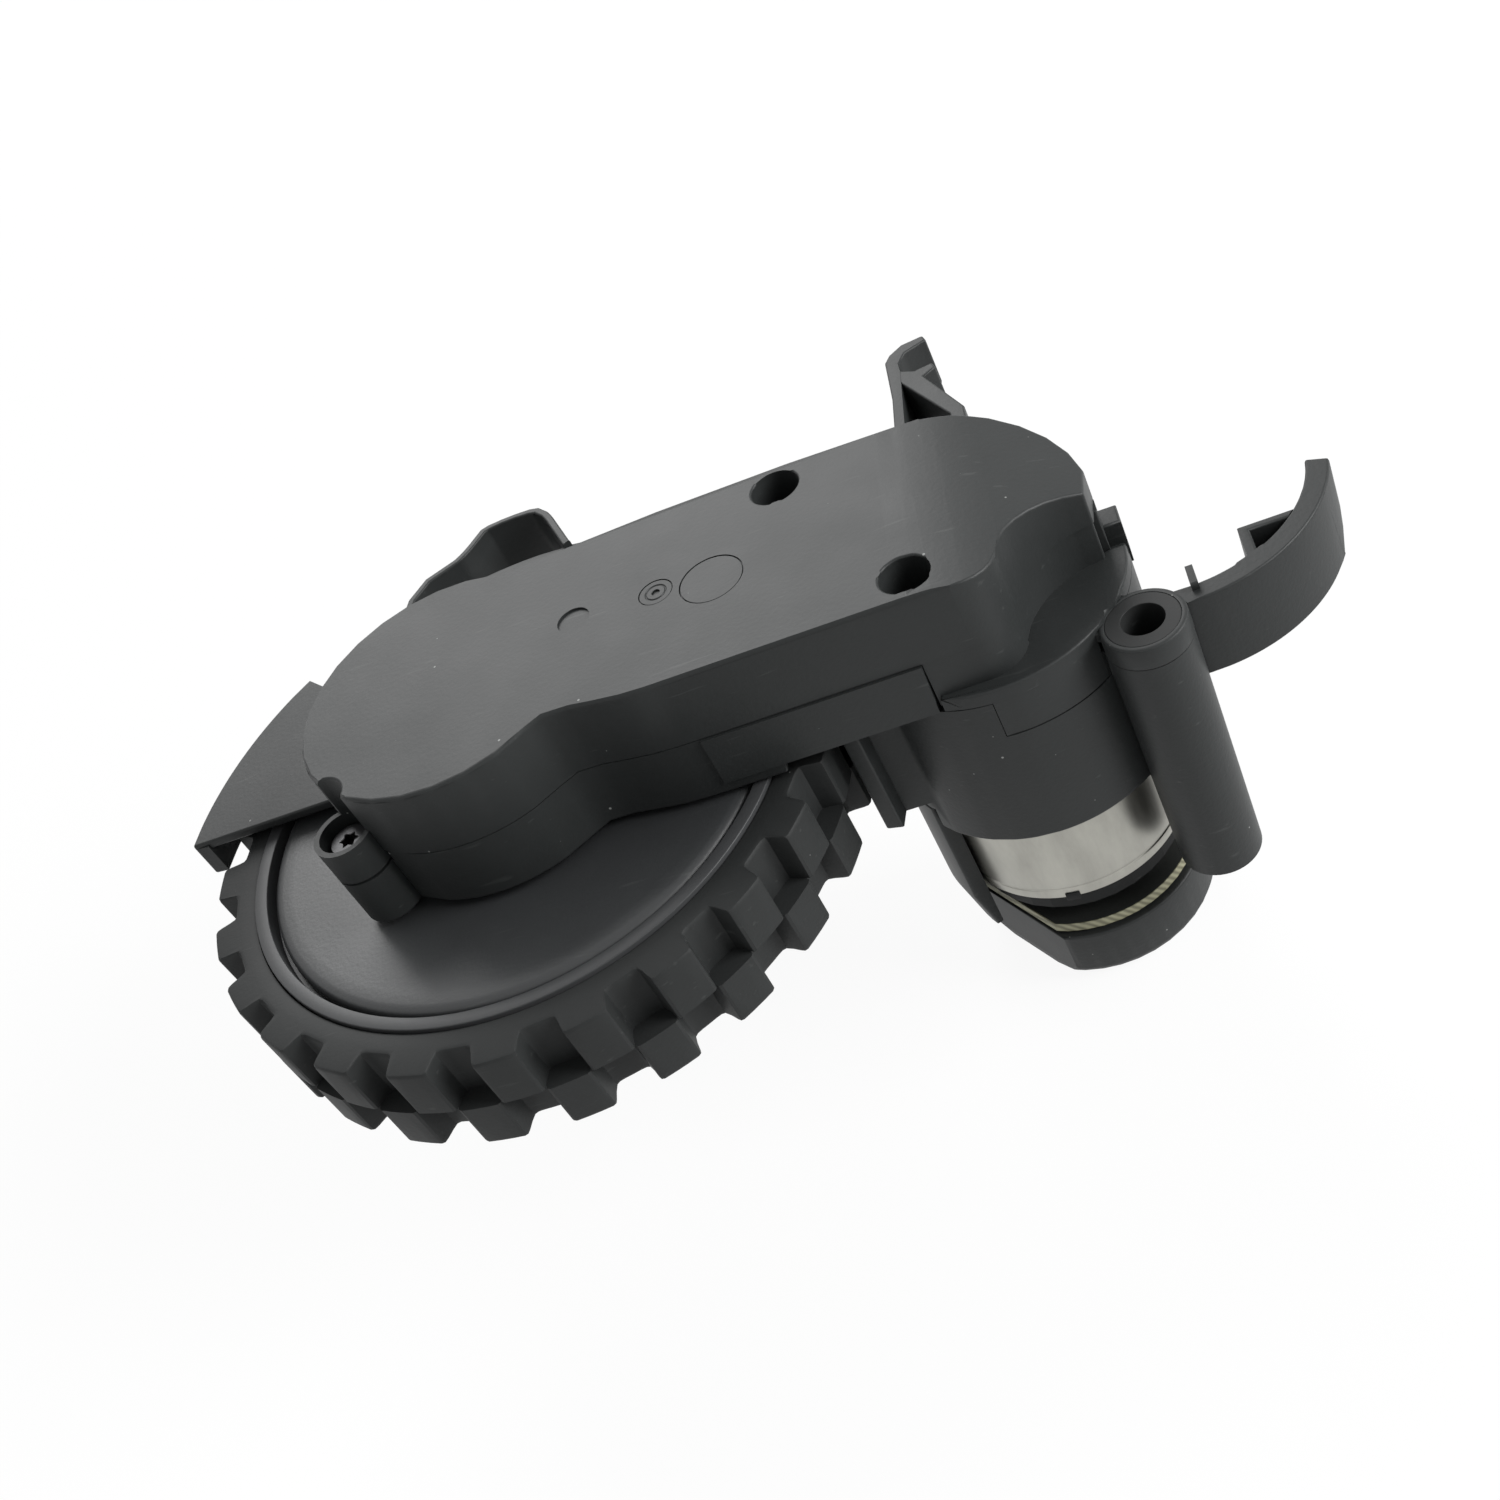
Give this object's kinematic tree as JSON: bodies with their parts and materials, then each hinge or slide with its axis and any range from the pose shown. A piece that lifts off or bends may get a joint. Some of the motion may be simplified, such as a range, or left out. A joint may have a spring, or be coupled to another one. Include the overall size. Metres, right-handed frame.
{
  "type": "robot vacuum wheel module",
  "caption": "Drive wheel of a robot vacuum: a rubber-tyred wheel on a sealed gearbox with its motor, pivot tube and spring arm.",
  "frame": {"origin": "on the axis of the pivot tube, in the plane of the collar's top face", "axes": "+Z is the outward normal of the gearbox cover, along the pivot tube and the wheel's axle; the wheel's axle lies towards -X and the motor between it and the origin; +Y points to the side of the hooked arm"},
  "size_m": [0.1235, 0.0811, 0.0572],
  "materials": {
    "abs_base": "moulded, dusty matt black",
    "abs_cover": "moulded, fine satin grain, charcoal",
    "rubber": "moulded tread rubber, matt",
    "hub_grey": "moulded, satin grey",
    "hub_black": "moulded, fine grain",
    "can_steel": "bright plated steel, lightly brushed",
    "steel": "bright",
    "screw_black": "black zinc",
    "brass": "plain",
    "acetal": "natural, satin",
    "board": "paper laminate, bare edge",
    "bell": "moulded black",
    "ferrite": "sintered, dark grey",
    "connector": "natural nylon"
  },
  "bodies": {
    "body": {"gearbox_base": "abs_base", "gearbox_cover": "abs_cover", "cover_screw_rear": "screw_black", "cover_screw_front": "screw_black", "lug_screw": "screw_black", "motor_screw_front": "steel", "motor_screw_rear": "steel", "motor_can": "can_steel", "motor_terminal_left": "brass", "motor_terminal_right": "brass", "motor_end_bell": "bell", "motor_board": "board", "board_connector": "connector", "encoder_sensor": "bell", "motor_rear_cap": "abs_base", "gear_pin_1": "steel", "gear_pin_2": "steel", "gear_pin_3": "steel", "axle_bearing": "steel", "axle_bush": "brass", "pivot_bush_top": "bell", "pivot_bush_bottom": "bell"},
    "wheel": {"wheel_axle": "steel", "output_gear": "acetal", "wheel_hub": "hub_grey", "hub_cover": "hub_black", "outer_cap": "hub_black", "tyre": "rubber", "wheel_screw": "steel"},
    "gear_3_body": {"gear_3": "acetal"},
    "gear_2_body": {"gear_2": "acetal"},
    "gear_1_body": {"gear_1": "acetal"},
    "rotor": {"motor_shaft": "steel", "motor_pinion": "brass", "encoder_magnet": "ferrite"}
  },
  "joints": [
    {"name": "wheel_spin", "type": "hinge", "parent": "body", "child": "wheel", "pos_m": [-0.06503, 0.0098, 0.0005], "axis": [0, 0, 1], "continuous": true},
    {"name": "gear_3_spin", "type": "hinge", "parent": "body", "child": "gear_3_body", "pos_m": [-0.04904, 0.0102, 0.0005], "axis": [0, 0, 1], "continuous": true},
    {"name": "gear_2_spin", "type": "hinge", "parent": "body", "child": "gear_2_body", "pos_m": [-0.03679, 0.01052, 0.0005], "axis": [0, 0, 1], "continuous": true},
    {"name": "gear_1_spin", "type": "hinge", "parent": "body", "child": "gear_1_body", "pos_m": [-0.0248, 0.01082, 0.0005], "axis": [0, 0, 1], "continuous": true},
    {"name": "motor_spin", "type": "hinge", "parent": "body", "child": "rotor", "pos_m": [-0.0138, 0.0111, 0.0005], "axis": [0, 0, 1], "continuous": true}
  ],
  "couplings": [
    {"joint": "gear_3_spin", "follows": "wheel_spin", "ratio": -2.3333},
    {"joint": "gear_2_spin", "follows": "wheel_spin", "ratio": 5.8333},
    {"joint": "gear_1_spin", "follows": "wheel_spin", "ratio": -17.5},
    {"joint": "motor_spin", "follows": "wheel_spin", "ratio": 59.5}
  ]
}
